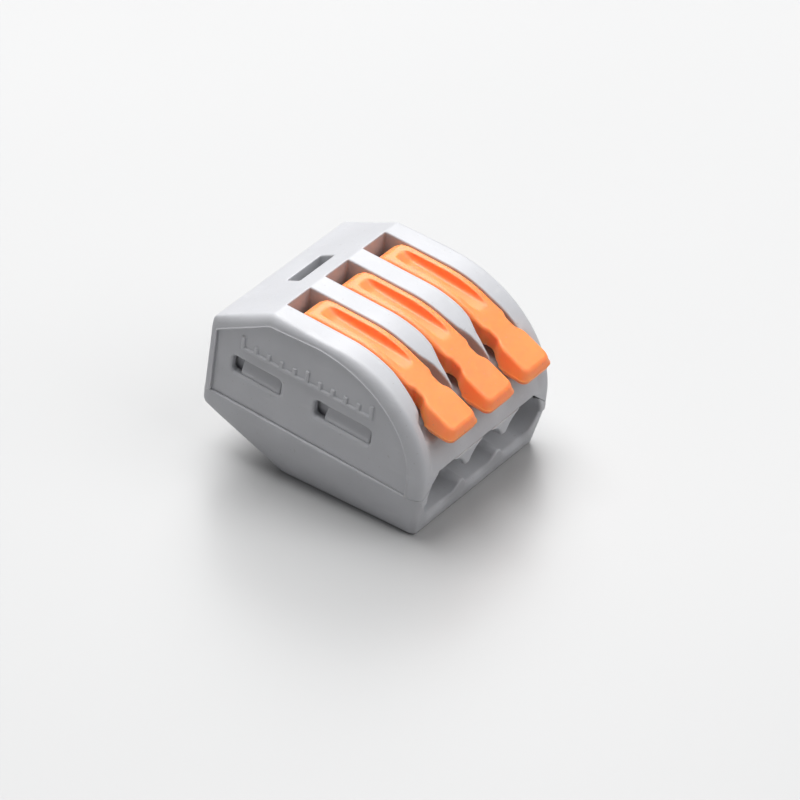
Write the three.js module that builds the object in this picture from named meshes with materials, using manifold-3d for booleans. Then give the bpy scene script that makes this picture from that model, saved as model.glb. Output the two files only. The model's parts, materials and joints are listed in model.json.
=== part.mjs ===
// Three-pole lever wire connector, in millimetres, +Z up.
//
// The parts are drawn in the housing's own frame: X across the poles, Y from the wire
// entries (-Y) to the back, Z up from the parting plane between cover and base. The whole
// assembly is then tilted by TILT, because the flat underside is not parallel to that plane.

import * as THREE from 'three';
import { mergeVertices } from 'three/addons/utils/BufferGeometryUtils.js';
import { ConvexGeometry } from 'three/addons/geometries/ConvexGeometry.js';
import Module from 'manifold-3d';

const wasm = await Module();
wasm.setup();

// ---------------------------------------------------------------- driving dimensions

const POLES = [-1, 0, 1];
const PITCH = 4.74;
const WIDTH = 17.2;
const LENGTH = 20.5;
const TILT = THREE.MathUtils.degToRad(6.1);
const UNDERSIDE_DROP = 4.93; // parting plane at mid length to the flat underside
const DRAFT = THREE.MathUtils.degToRad(1.6);
const GAP = 0.06; // running and assembly gap between neighbouring parts

const HALF_W = WIDTH / 2;
const HALF_L = LENGTH / 2;
const BELOW = -2; // a height safely under the cover, for cuts that open downwards
const ABOVE = 12; // a height safely over the cover

// Cover side profile (y, z): flat top, elliptical nose, rear ramp.
const NOSE = { y: -1.0, z: 1.0, a: 9.25, b: 8.5 };
const RIDGE = [5.0, 9.45];
const RAMP_END = [10.2, 6.6];
// Outline of the sunk side panel (y, z), where the rounded band round it begins.
const PANEL_NOSE = { y: 0.5, z: 1.2, a: 9.35, b: 7.6 };
const PANEL_RIDGE = [4.9, 8.47];
const PANEL_RAMP_END = [9.57, 5.72];
const PANEL_REAR_Y = 9.5;
const PANEL_DEPTH = 0.12;
const NOSE_STEPS = 14;

// Base: rounded band under the parting plane, then a keel that tapers to the underside.
const CREASE_Z = -1.55;
const CREASE_FRONT_Y = -4.5;
const BOTTOM = { frontY: -9.65, rearY: 3.5, frontHalfW: 7.73, rearHalfW: 7.19 };
const FLOOR_Z = -3.2;

// Wire entries.
const ENTRY = { z: -0.7, mouthR: 2.5, throatR: 1.75, mouthY: -10.4, throatY: -7.2 };
const LIP = { z: 1.8, halfW: 6.1, footHalfW: 8.05, backY: -9.7 };
const FRONT_WALL = { footHalfW: 7.55, tenonHalfW: 6.0, topZ: 2.85, backY: -6.9 };

// Compartments for the springs, and the lever slots above them.
const ROOM_HALF_W = 1.95;
const ROOM = { frontY: -6.8, riserY: -3.2, backY: 8.3, lowZ: 3.0, topZ: 5.7 };
const SLOT_HALF_W = 1.45;
const SLOT = { frontY: -9.4, backY: RIDGE[0], floorZ: 5.0 };
const CHIN = { footY: -10.15, browY: -9.3, browZ: 4.35, ribFootY: -8.25, ribFootZ: 4.8, halfW: 7.0 };
const TAB_POCKET = { halfW: 2.1, startY: -5.4, fullY: -8.0 };

// Snap latches: windows in the cover's sides, tongues and barbs on the base.
const WINDOWS = [{ y0: 3.36, y1: 7.98, tongueRear: 7.2 }, { y0: -5.05, y1: 0.22, tongueRear: -0.7 }];
const WINDOW_Z = [2.58, 4.07];
const TONGUE_X = [6.78, 7.42];
const TONGUE_TOP_Z = 4.6;
const BARB_X = [7.75, 8.15];

// Inspection slot in the rear ramp.
const TEST_SLOT = { halfW: 2.35, y0: 6.65, y1: 8.03, taper: 0.25 };

// Lever.
const LEVER_ANGLE = THREE.MathUtils.degToRad(90);
const PIVOT = { y: 1.4, z: 7.0, r: 1.05 };
const ARM_HALF_W = 1.38;
const WAIST = { halfW: 1.15, startY: -6.45, fullY: -6.85 };
const LEVER_TOP_Z = 9.42;
const ARM_STRAIGHT_Y = -4.7;
const TAB_SLOPE = 0.4226;
const GROOVE = { halfW: 0.75, rear: [3.05, 9.44], front: [-5.3, 8.5] };
const TAB = {
  top: { halfW: 1.5, rearY: -8.15, frontY: -10.87 },
  rim: { halfW: 1.85, rearY: -8.15, frontY: -11.05, rearZ: 5.6, frontZ: 5.3 },
  foot: { halfW: 1.6, rearY: -8.65, frontY: -10.9, rearZ: 4.95, frontZ: 4.75 },
};

// Cage spring: fixed leg, bow round BOW, and an arm that ends in the clamping window.
const BOW = { y: 6.0, z: 3.2, inner: 1.4, outer: 1.8 };
const SPRING_HALF_W = 1.7;
const ARM_ANGLE = THREE.MathUtils.degToRad(16);
const PLATE_Y = -2.4;
const CLAMP = { halfW: 1.25, topZ: 4.0, edgeZ: 0.52, barZ: -0.3 };
const LEG_FRONT_Y = -0.9;

// Busbar: a cross strip with one tongue for each pole.
const BUSBAR = { z0: 0.65, z1: 1.3, tongueHalfW: 1.1, tongueY: -4.2, y0: 1.0, y1: 4.6, halfW: 6.35 };

const COLOURS = { grey: 0xc9cacf, orange: 0xff9238, steel: 0xb9bcc0, tin: 0xd6d2c8 };

// ---------------------------------------------------------------- solids from geometries

function solid(geometry) {
  const positions = geometry.index ? geometry : geometry.clone();
  positions.deleteAttribute('normal');
  positions.deleteAttribute('uv');
  const merged = mergeVertices(positions, 1e-5);
  return new wasm.Manifold(new wasm.Mesh({
    numProp: 3,
    vertProperties: new Float32Array(merged.attributes.position.array),
    triVerts: new Uint32Array(merged.index.array),
  }));
}

function geometryOf(body) {
  const mesh = body.getMesh();
  const geometry = new THREE.BufferGeometry();
  geometry.setAttribute('position', new THREE.BufferAttribute(mesh.vertProperties, 3));
  geometry.setIndex(new THREE.BufferAttribute(mesh.triVerts, 1));
  geometry.computeVertexNormals();
  return geometry;
}

const union = (bodies) => bodies.reduce((sum, body) => sum.add(body));
const cut = (body, tools) => tools.reduce((rest, tool) => rest.subtract(tool), body);

function box([x0, x1], [y0, y1], [z0, z1]) {
  const geometry = new THREE.BoxGeometry(x1 - x0, y1 - y0, z1 - z0);
  geometry.translate((x0 + x1) / 2, (y0 + y1) / 2, (z0 + z1) / 2);
  return solid(geometry);
}

function extrusion(points, depth, basis) {
  const shape = new THREE.Shape(points.map(([u, v]) => new THREE.Vector2(u, v)));
  const geometry = new THREE.ExtrudeGeometry(shape, { depth, bevelEnabled: false });
  geometry.applyMatrix4(new THREE.Matrix4().makeBasis(...basis));
  return geometry;
}

const X = new THREE.Vector3(1, 0, 0);
const Y = new THREE.Vector3(0, 1, 0);
const Z = new THREE.Vector3(0, 0, 1);

// A side profile of (y, z) points, swept across the part from x0 to x1.
function sideSolid(points, x0, x1) {
  return solid(extrusion(points, x1 - x0, [Y, Z, X]).translate(x0, 0, 0));
}

// A front profile of (x, z) points, swept along the part from y0 to y1.
function frontSolid(points, y0, y1) {
  return solid(extrusion(points, y1 - y0, [X, Z, Y.clone().negate()]).translate(0, y1, 0));
}

// A plan of (x, y) points, swept up from z0 to z1.
function planSolid(points, z0, z1) {
  return solid(extrusion(points, z1 - z0, [X, Y, Z]).translate(0, 0, z0));
}

function rodAlongX(radius, y, z, x0, x1, sides = 24) {
  const geometry = new THREE.CylinderGeometry(radius, radius, x1 - x0, sides);
  geometry.rotateZ(Math.PI / 2);
  return solid(geometry.translate((x0 + x1) / 2, y, z));
}

function hull(points) {
  return solid(new ConvexGeometry(points.map((p) => new THREE.Vector3(...p))));
}

const poleX = (pole) => pole * PITCH;

// ---------------------------------------------------------------- housing outlines

function ellipsePoints(arc, fromAngle, toAngle, steps) {
  return Array.from({ length: steps + 1 }, (_, i) => {
    const angle = THREE.MathUtils.lerp(fromAngle, toAngle, i / steps);
    return [arc.y + arc.a * Math.cos(angle), arc.z + arc.b * Math.sin(angle)];
  });
}

// The two outlines have matching points, so that a rounded band can join them one to one.
function outerOutline(bottomZ) {
  return [
    [-HALF_L, bottomZ],
    ...ellipsePoints(NOSE, Math.PI, Math.PI / 2, NOSE_STEPS),
    RIDGE,
    RAMP_END,
    [HALF_L, bottomZ],
  ];
}

function panelOutline(bottomZ) {
  return [
    [PANEL_NOSE.y - PANEL_NOSE.a, bottomZ],
    ...ellipsePoints(PANEL_NOSE, Math.PI, Math.PI / 2, NOSE_STEPS),
    PANEL_RIDGE,
    PANEL_RAMP_END,
    [PANEL_REAR_Y, bottomZ],
  ];
}

const sideX = (z) => HALF_W - z * Math.tan(DRAFT);

// Points of the rounded band between the side panel's edge and the outer outline.
function bandPoints(bottomZ, side) {
  const MAX_ROUND = 1.4;
  const BAND_STEPS = 4;
  const outer = outerOutline(bottomZ);
  return panelOutline(bottomZ).flatMap(([panelY, panelZ], i) => {
    const [outerY, outerZ] = outer[i];
    const round = Math.min(Math.hypot(outerY - panelY, outerZ - panelZ), MAX_ROUND);
    return Array.from({ length: BAND_STEPS + 1 }, (_, k) => {
      const angle = (Math.PI / 2) * (k / BAND_STEPS);
      const y = THREE.MathUtils.lerp(panelY, outerY, Math.sin(angle));
      const z = THREE.MathUtils.lerp(panelZ, outerZ, Math.sin(angle));
      return [side * (sideX(z) - round * (1 - Math.cos(angle))), y, z];
    });
  });
}

// The ring of band points that lies in a horizontal plane, for the base's rim.
function rimPoints(z, inset) {
  const ring = [-1, 1].flatMap((side) => bandPoints(0, side).filter((p) => Math.abs(p[2]) < 1e-9));
  const scaleX = (HALF_W - inset) / HALF_W;
  const scaleY = (HALF_L - inset) / HALF_L;
  return ring.map(([x, y]) => [x * scaleX, y * scaleY, z]);
}

// ---------------------------------------------------------------- cover

function panelRecess(side) {
  const DEPTH = 1;
  const slab = extrusion(panelOutline(BELOW), DEPTH, [Y, Z, X]);
  slab.translate(side > 0 ? 0 : -DEPTH, 0, 0);
  slab.rotateY(-side * DRAFT);
  return solid(slab.translate(side * (HALF_W - PANEL_DEPTH), 0, 0));
}

function leverSlot(pole) {
  const x = poleX(pole);
  const slot = box([x - SLOT_HALF_W, x + SLOT_HALF_W], [SLOT.frontY, SLOT.backY], [SLOT.floorZ, ABOVE]);
  const half = TAB_POCKET.halfW;
  const tabPocket = planSolid([
    [x - SLOT_HALF_W, TAB_POCKET.startY],
    [x - half, TAB_POCKET.fullY],
    [x - half, SLOT.frontY],
    [x + half, SLOT.frontY],
    [x + half, TAB_POCKET.fullY],
    [x + SLOT_HALF_W, TAB_POCKET.startY],
  ], SLOT.floorZ, ABOVE);
  const bearingR = PIVOT.r + 0.1;
  const bearing = union([
    rodAlongX(bearingR, PIVOT.y, PIVOT.z, x - ROOM_HALF_W, x + ROOM_HALF_W),
    box([x - ROOM_HALF_W, x + ROOM_HALF_W], [PIVOT.y - bearingR, PIVOT.y + bearingR], [ROOM.lowZ, PIVOT.z]),
  ]);
  return union([slot, tabPocket, bearing]);
}

function springRoom(pole) {
  const x = poleX(pole);
  return sideSolid([
    [ROOM.frontY, BELOW],
    [ROOM.backY, BELOW],
    [ROOM.backY, ROOM.topZ],
    [ROOM.riserY, ROOM.topZ],
    [ROOM.riserY, ROOM.lowZ],
    [ROOM.frontY, ROOM.lowZ],
  ], x - ROOM_HALF_W, x + ROOM_HALF_W);
}

function chinCut() {
  return sideSolid([
    [CHIN.footY, LIP.z - GAP],
    [CHIN.browY, CHIN.browZ],
    [CHIN.ribFootY, CHIN.ribFootZ],
    [CHIN.ribFootY + 0.15, 6.3],
    [CHIN.ribFootY + 0.25, ABOVE],
    [-ABOVE, ABOVE],
    [-ABOVE, LIP.z - GAP],
  ], -CHIN.halfW, CHIN.halfW);
}

// Front profile (x, z) of the wall round the wire entries, behind the cover's lip.
function wallProfile(margin, bottomZ) {
  const foot = FRONT_WALL.footHalfW + margin;
  const top = LIP.halfW + margin;
  return [
    [-foot, bottomZ],
    [foot, bottomZ],
    [foot, 0.3 + margin],
    [top, LIP.z - GAP + margin / 2],
    [-top, LIP.z - GAP + margin / 2],
    [-foot, 0.3 + margin],
  ];
}

// The front opening that the base's entry wall fills, with sloping shoulders.
function entryCut() {
  const lip = frontSolid([
    [-LIP.footHalfW - 0.1, BELOW],
    [LIP.footHalfW + 0.1, BELOW],
    [LIP.footHalfW + 0.1, 0],
    [LIP.halfW, LIP.z],
    [-LIP.halfW, LIP.z],
    [-LIP.footHalfW - 0.1, 0],
  ], -ABOVE, LIP.backY);
  const MARGIN = 0.12;
  const behind = frontSolid(wallProfile(MARGIN, BELOW), LIP.backY - MARGIN, ROOM.frontY);
  const reach = FRONT_WALL.tenonHalfW + MARGIN;
  const tenonRoom = box([-reach, reach], [LIP.backY, ROOM.frontY], [BELOW, ROOM.lowZ]);
  return union([lip, behind, tenonRoom]);
}

function latchOpenings(side) {
  return union(WINDOWS.flatMap((w) => {
    const pocketX = [ROOM_HALF_W + PITCH - 0.1, TONGUE_X[1] + 0.12].map((x) => side * x).sort((a, b) => a - b);
    const windowX = [TONGUE_X[1], HALF_W + 1].map((x) => side * x).sort((a, b) => a - b);
    return [
      box(pocketX, [w.y0 - 0.3, w.y1 + 0.3], [BELOW, TONGUE_TOP_Z + 0.2]),
      box(windowX, [w.y0, w.y1], WINDOW_Z),
    ];
  }));
}

function testSlot() {
  const { halfW, y0, y1, taper } = TEST_SLOT;
  const corners = (shrink, z) => [
    [-halfW + shrink, y0 + shrink, z], [halfW - shrink, y0 + shrink, z],
    [-halfW + shrink, y1 - shrink, z], [halfW - shrink, y1 - shrink, z],
  ];
  const mouth = corners(0, RIDGE[1]);
  const foot = corners(taper * 2, ROOM.topZ - 1).map(([x, y, z]) => [x * 0.8, y, z]);
  return hull([...mouth, ...foot]);
}

function makeCover() {
  const shell = hull([...bandPoints(GAP, -1), ...bandPoints(GAP, 1)]);
  const busbarNotch = box(
    [-ROOM_HALF_W - PITCH, ROOM_HALF_W + PITCH],
    [BUSBAR.y0 - 0.15, BUSBAR.y1 + 0.15],
    [BELOW, BUSBAR.z1 + 0.12],
  );
  return cut(shell, [
    panelRecess(-1),
    panelRecess(1),
    ...POLES.map(springRoom),
    ...POLES.map(leverSlot),
    chinCut(),
    entryCut(),
    latchOpenings(-1),
    latchOpenings(1),
    testSlot(),
    busbarNotch,
  ]);
}

// ---------------------------------------------------------------- base

// Height of the flat underside, in the housing's tilted frame.
const undersideZ = (y) => -(UNDERSIDE_DROP + y * Math.sin(TILT)) / Math.cos(TILT);

function baseShell() {
  const rim = rimPoints(-GAP, 0);
  const crease = rimPoints(CREASE_Z, 0.06).filter((p) => p[1] > 0);
  const sides = [-1, 1].flatMap((side) => [
    [side * (HALF_W - 0.06), CREASE_FRONT_Y, CREASE_Z],
    [side * BOTTOM.frontHalfW, BOTTOM.frontY + 0.5, undersideZ(BOTTOM.frontY + 0.5)],
    [side * (BOTTOM.frontHalfW - 0.5), BOTTOM.frontY, undersideZ(BOTTOM.frontY)],
    [side * BOTTOM.rearHalfW, BOTTOM.rearY, undersideZ(BOTTOM.rearY)],
  ]);
  return hull([...rim, ...crease, ...sides]);
}

function entryWall() {
  const ROOT_Z = -0.3;
  const front = frontSolid([
    [-LIP.footHalfW, ROOT_Z],
    [LIP.footHalfW, ROOT_Z],
    [LIP.footHalfW, -GAP],
    [LIP.halfW, LIP.z - GAP],
    [-LIP.halfW, LIP.z - GAP],
    [-LIP.footHalfW, -GAP],
  ], -HALF_L + 0.08, LIP.backY);
  const back = frontSolid(wallProfile(0, ROOT_Z), LIP.backY - 2 * GAP, FRONT_WALL.backY);
  const tenon = box(
    [-FRONT_WALL.tenonHalfW, FRONT_WALL.tenonHalfW],
    [LIP.backY + 0.1, FRONT_WALL.backY],
    [ROOT_Z, FRONT_WALL.topZ],
  );
  const withinCorners = hull([...rimPoints(ROOT_Z, 0.03), ...rimPoints(FRONT_WALL.topZ, 0.03)]);
  return union([front, back, tenon]).intersect(withinCorners);
}

function wireEntry(pole) {
  const length = ENTRY.throatY - ENTRY.mouthY;
  const funnel = new THREE.CylinderGeometry(ENTRY.throatR, ENTRY.mouthR, length, 32);
  funnel.translate(poleX(pole), (ENTRY.mouthY + ENTRY.throatY) / 2, ENTRY.z);
  const channel = new THREE.CylinderGeometry(ENTRY.throatR, ENTRY.throatR, 4, 32);
  channel.translate(poleX(pole), ENTRY.throatY + 1.9, ENTRY.z);
  return union([solid(funnel), solid(channel)]);
}

function baseRoom(pole) {
  const x = poleX(pole);
  return sideSolid([
    [ROOM.frontY, FLOOR_Z],
    [BOTTOM.rearY, FLOOR_Z],
    [ROOM.backY, -0.9],
    [ROOM.backY, ABOVE],
    [ROOM.frontY, ABOVE],
  ], x - ROOM_HALF_W, x + ROOM_HALF_W);
}

// A stop for the wire's end, which also carries the busbar.
function wireStop(pole) {
  const x = poleX(pole);
  return box([x - ROOM_HALF_W - 0.1, x + ROOM_HALF_W + 0.1], [3.5, 4.3], [FLOOR_Z - 0.2, BUSBAR.z0 - GAP]);
}

function dividerPost(x) {
  const halfW = (PITCH / 2 - ROOM_HALF_W) * 0.9;
  return box([x - halfW, x + halfW], [BUSBAR.y0 + 0.1, BUSBAR.y1 - 0.1], [-1, BUSBAR.z0 - GAP]);
}

function latchTongue(side, window) {
  const x = TONGUE_X.map((value) => side * value).sort((a, b) => a - b);
  const y = [window.y0 + 0.12, window.tongueRear];
  const [z0, z1] = [WINDOW_Z[0] + 0.15, WINDOW_Z[1] - 0.12];
  const barb = frontSolid([
    [side * TONGUE_X[0], z0],
    [side * BARB_X[1], z0],
    [side * BARB_X[1], z0 + 0.4],
    [side * BARB_X[0], z1],
    [side * TONGUE_X[0], z1],
  ], ...y);
  return union([box(x, y, [-1.5, TONGUE_TOP_Z]), barb]);
}

function makeBase() {
  const body = cut(
    union([baseShell(), entryWall()]),
    [...POLES.map(baseRoom), ...POLES.map(wireEntry)],
  );
  const latches = [-1, 1].flatMap((side) => WINDOWS.map((w) => latchTongue(side, w)));
  const posts = [-PITCH / 2, PITCH / 2].map(dividerPost);
  return union([body, ...latches, ...posts, ...POLES.map(wireStop)]);
}

// ---------------------------------------------------------------- lever

const ARM_PER_LEVER = ARM_ANGLE / LEVER_ANGLE;

// Distance from the lever's pivot to the spring arm's top face, with the arm turned by phi.
function pivotToArm(phi) {
  const dy = PIVOT.y - BOW.y;
  const dz = PIVOT.z - BOW.z;
  return dz * Math.cos(phi) - dy * Math.sin(phi) - BOW.outer;
}

// The cam is the envelope of that face as the lever turns, less a small gap. Lever and arm
// turn opposite ways, so the face turns through the sum of their angles past the cam.
function camPoints(steps) {
  const CAM_GAP = 0.12;
  return Array.from({ length: steps + 1 }, (_, i) => {
    const theta = LEVER_ANGLE * (i / steps);
    const phi = theta * ARM_PER_LEVER;
    const psi = theta + phi;
    const reach = pivotToArm(phi) - CAM_GAP;
    const step = 1e-4;
    const slope = ((pivotToArm(phi + step) - pivotToArm(phi)) / step) * (ARM_PER_LEVER / (1 + ARM_PER_LEVER));
    return [
      PIVOT.y + reach * Math.sin(psi) + slope * Math.cos(psi),
      PIVOT.z - reach * Math.cos(psi) + slope * Math.sin(psi),
    ];
  });
}

// Top line of the lever: level, then round with the cover, then straight down the tab.
function leverTopZ(y) {
  const arcZ = (v) => {
    const t = Math.max(0, (NOSE.y - v) / NOSE.a);
    return LEVER_TOP_Z - NOSE.b * (1 - Math.sqrt(1 - t * t));
  };
  return y > ARM_STRAIGHT_Y ? arcZ(y) : arcZ(ARM_STRAIGHT_Y) - (ARM_STRAIGHT_Y - y) * TAB_SLOPE;
}

function leverProfile() {
  const topYs = [2.5, 1.0, -1.0, -2.0, -3.0, -3.9, ARM_STRAIGHT_Y, TAB.top.rearY - 0.4];
  return [
    [TAB.top.rearY - 0.4, leverTopZ(TAB.top.rearY - 0.4) - 1.2],
    [-7.2, 6.15],
    [-5.2, 6.5],
    [-3.2, 6.55],
    [-1.6, 6.1],
    [-0.2, 5.35],
    [0.9, 5.12],
    ...camPoints(12),
    [3.6, 8.95],
    [3.05, 9.28],
    ...topYs.map((y) => [y, leverTopZ(y)]),
  ];
}

// The eight corners of one level of the tab. It lies on the lever's top line or on its own slope.
function tabRing({ halfW, rearY, frontY, rearZ, frontZ }) {
  const corner = 0.5;
  const ys = [[halfW - corner, frontY], [halfW, frontY + corner], [halfW, rearY], [halfW - corner, rearY + 0.8]];
  const heightAt = (y) => (rearZ === undefined
    ? leverTopZ(y)
    : THREE.MathUtils.mapLinear(y, rearY, frontY, rearZ, frontZ));
  return [-1, 1].flatMap((side) => ys.map(([x, y]) => [side * x, y, heightAt(y)]));
}

// What is cut off one side of the arm to leave the waist in front of it.
function waistCut(side) {
  const outside = 3;
  return planSolid([
    [side * ARM_HALF_W, WAIST.startY],
    [side * WAIST.halfW, WAIST.fullY],
    [side * WAIST.halfW, -ABOVE],
    [side * outside, -ABOVE],
    [side * outside, WAIST.startY],
  ], BELOW, ABOVE);
}

function makeLever() {
  const arm = cut(sideSolid(leverProfile(), -ARM_HALF_W, ARM_HALF_W), [waistCut(-1), waistCut(1)]);
  const tab = hull([TAB.top, TAB.rim, TAB.foot].flatMap(tabRing));
  const journal = rodAlongX(PIVOT.r, PIVOT.y, PIVOT.z, -ROOM_HALF_W + 0.08, ROOM_HALF_W - 0.08);
  const groove = sideSolid([
    GROOVE.rear,
    [GROOVE.rear[0], ABOVE],
    [GROOVE.front[0], ABOVE],
    GROOVE.front,
  ], -GROOVE.halfW, GROOVE.halfW);
  return cut(union([arm, tab, journal]), [groove]);
}

// ---------------------------------------------------------------- cage spring

function bowArc(radius, fromDeg, toDeg, steps) {
  return Array.from({ length: steps + 1 }, (_, i) => {
    const angle = THREE.MathUtils.degToRad(THREE.MathUtils.lerp(fromDeg, toDeg, i / steps));
    return [BOW.y + radius * Math.cos(angle), BOW.z + radius * Math.sin(angle)];
  });
}

// Fixed leg and bow. The bow stops short, leaving room for the arm to swing.
function makeSpringBow() {
  const END_DEG = 66;
  return sideSolid([
    [LEG_FRONT_Y, BOW.z - BOW.outer],
    ...bowArc(BOW.outer, -90, END_DEG, 14),
    ...bowArc(BOW.inner, END_DEG, -90, 14),
    [LEG_FRONT_Y, BOW.z - BOW.inner],
  ], -SPRING_HALF_W, SPRING_HALF_W);
}

function makeSpringArm() {
  const top = BOW.z + BOW.outer;
  const under = BOW.z + BOW.inner;
  const strip = BOW.outer - BOW.inner;
  const bend = 0.5;
  const blank = sideSolid([
    [BOW.y, top],
    [PLATE_Y + bend, top],
    [PLATE_Y + 0.15, top - 0.15],
    [PLATE_Y, top - bend],
    [PLATE_Y, CLAMP.barZ],
    [PLATE_Y + strip, CLAMP.barZ],
    [PLATE_Y + strip, under - 0.15],
    [PLATE_Y + strip + 0.15, under],
    [BOW.y, under],
  ], -SPRING_HALF_W, SPRING_HALF_W);
  const opening = box([-CLAMP.halfW, CLAMP.halfW], [PLATE_Y - 1, PLATE_Y + 1], [CLAMP.edgeZ, CLAMP.topZ]);
  return cut(blank, [opening]);
}

// ---------------------------------------------------------------- busbar

function makeBusbar() {
  const z = [BUSBAR.z0, BUSBAR.z1];
  const strip = box([-BUSBAR.halfW, BUSBAR.halfW], [BUSBAR.y0, BUSBAR.y1], z);
  const tongues = POLES.map((pole) => {
    const x = poleX(pole);
    const [half, tip] = [BUSBAR.tongueHalfW, BUSBAR.tongueY];
    return planSolid([
      [x - half, BUSBAR.y0 + 0.5],
      [x - half, tip + 0.3],
      [x - half + 0.3, tip],
      [x + half - 0.3, tip],
      [x + half, tip + 0.3],
      [x + half, BUSBAR.y0 + 0.5],
    ], ...z);
  });
  return union([strip, ...tongues]);
}

// ---------------------------------------------------------------- assembly

function mesh(name, body, colour, roughness, metalness) {
  const material = new THREE.MeshStandardMaterial({ color: colour, roughness, metalness });
  const piece = new THREE.Mesh(geometryOf(body), material);
  piece.name = name;
  return piece;
}

const housing = new THREE.Group();
housing.rotation.x = TILT;
housing.position.z = UNDERSIDE_DROP;
housing.add(mesh('top_housing', makeCover(), COLOURS.grey, 0.45, 0));
housing.add(mesh('base_housing', makeBase(), COLOURS.grey, 0.45, 0));
housing.add(mesh('busbar', makeBusbar(), COLOURS.tin, 0.3, 1));

for (const pole of POLES) {
  const number = pole + 2;
  const parts = [
    mesh(`lever_${number}`, makeLever(), COLOURS.orange, 0.4, 0),
    mesh(`cage_spring_bow_${number}`, makeSpringBow(), COLOURS.steel, 0.3, 1),
    mesh(`cage_spring_arm_${number}`, makeSpringArm(), COLOURS.steel, 0.3, 1),
  ];
  for (const part of parts) {
    part.position.x = poleX(pole);
    housing.add(part);
  }
}

const connector = new THREE.Group();
connector.add(housing);

// The origin is under the middle of the assembly's box.
const bounds = new THREE.Box3().setFromObject(connector, true);
housing.position.y = -(bounds.min.y + bounds.max.y) / 2;

export default connector;
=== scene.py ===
"""Looks of a three-pole lever wire connector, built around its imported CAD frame.

Each visible piece is a solid described by signed distances on a fine grid, with a round on
every edge, and then turned into a mesh. Lengths are millimetres in the housing's own frame:
X across the poles, Y from the wire entries (-Y) to the back, Z up from the parting plane.
The finished pieces are placed, in metres, by the middle lever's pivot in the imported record.
"""

import json
import math

import bpy
import numpy as np
import openvdb
from mathutils import Matrix, Vector


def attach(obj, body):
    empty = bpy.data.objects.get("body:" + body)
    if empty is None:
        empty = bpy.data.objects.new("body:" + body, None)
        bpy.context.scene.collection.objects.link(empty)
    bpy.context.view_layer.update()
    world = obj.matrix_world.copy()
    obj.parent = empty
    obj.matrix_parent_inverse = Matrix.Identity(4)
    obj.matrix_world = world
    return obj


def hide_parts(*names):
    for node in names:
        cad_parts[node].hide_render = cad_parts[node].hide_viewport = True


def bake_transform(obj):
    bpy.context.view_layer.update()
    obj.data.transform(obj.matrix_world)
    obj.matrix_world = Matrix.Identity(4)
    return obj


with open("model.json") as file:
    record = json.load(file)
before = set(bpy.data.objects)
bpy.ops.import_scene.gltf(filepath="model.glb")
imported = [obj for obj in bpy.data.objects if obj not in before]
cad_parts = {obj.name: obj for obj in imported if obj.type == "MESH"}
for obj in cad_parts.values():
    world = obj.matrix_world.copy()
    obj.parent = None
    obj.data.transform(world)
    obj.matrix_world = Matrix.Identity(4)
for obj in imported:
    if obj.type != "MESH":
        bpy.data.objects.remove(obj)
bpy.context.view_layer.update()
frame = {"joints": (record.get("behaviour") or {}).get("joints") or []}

# ---------------------------------------------------------------- driving dimensions, mm

MM = 0.001
FAR = 15.0  # safely outside the part
POLES = (-1, 0, 1)
PITCH = 4.74
HALF_W = 8.6
HALF_L = 10.25
TOP_Z = 9.5
TILT = math.radians(6.1)
UNDERSIDE_DROP = 4.93
DRAFT = math.tan(math.radians(1.6))
SEAM = 0.004  # half the gap between cover and base
FIT = 0.12  # play round what slots into the cover
COVER_INSET = 0.07  # how far the cover's skin lies inside the box
BASE_INSET = 0.055  # the same for the base, whose flash line reaches the box
FLASH_HALF_H = 0.11

# Side outlines (y, z). An ellipse is its centre and its two half axes.
NOSE = (-1.0, 1.0, 9.25, 8.5)
RIDGE = (5.0, 9.45)
RAMP_END = (10.2, 6.6)
OUTER_ROUND = 0.55
PANEL_NOSE = (0.5, 1.2, 9.35, 7.6)
PANEL_RIDGE = (4.9, 8.47)
PANEL_RAMP_END = (9.57, 5.72)
PANEL_REAR_Y = 9.5
PANEL_ROUND = 0.3
PANEL_DEPTH = 0.16
PANEL_BEAD_R = 0.07
BAND_ROUND, MAX_ROUND = 0.75, 0.75  # the band's round: a share of its width, and at most
REAR_CRISP, REAR_CRISP_Y = 0.5, (6.5, 10.2)  # the share of that round lost on the way back

CREASE_Z = -1.55
CREASE_FRONT_Y = -4.5
RIM_FRONT_Y = -8.85
KEEL_INSET = 0.06  # how far the keel's edges lie inside the box
BOTTOM_Y = (-9.65, 3.5)
BOTTOM_HALF_W = (7.95, 7.19)
BOTTOM_CORNER = 0.5  # from the underside's front edge back to its corner
BOTTOM_Z = -5.6
FLOOR_Z = -3.2

ENTRY_Z = (-0.5, -0.7)  # at the mouth and at the throat
MOUTH_R, INNER_R, THROAT_R = 2.57, 2.25, 1.75
MOUTH_Y, THROAT_Y, ENTRY_END_Y = -10.3, -6.6, -3.3
FUNNEL_CURVE = 1.8  # 1 is a straight cone, and more is a bell
TOOTH_Z, SADDLE_Z = 0.3, -1.42
GAP_HALF_W, GAP_BACK_Y = 0.6, -8.0
LIP_Z, LIP_HALF_W, LIP_FOOT_HALF_W, LIP_BACK_Y = 1.8, 6.1, 8.05, -9.7
WALL_FOOT_HALF_W, WALL_FOOT_Z, WALL_ROOT_Z, WALL_BACK_Y = 7.55, 0.3, -0.6, -6.9
WALL_DROP = 0.06  # from the lip's top to the wall's behind it
WALL_LAP = 0.12  # how far the wall runs into the lip
TENON_HALF_W, TENON_TOP_Z, TENON_FRONT_Y = 6.0, 2.85, -9.1
CHIN_HALF_W = 7.0

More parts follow.
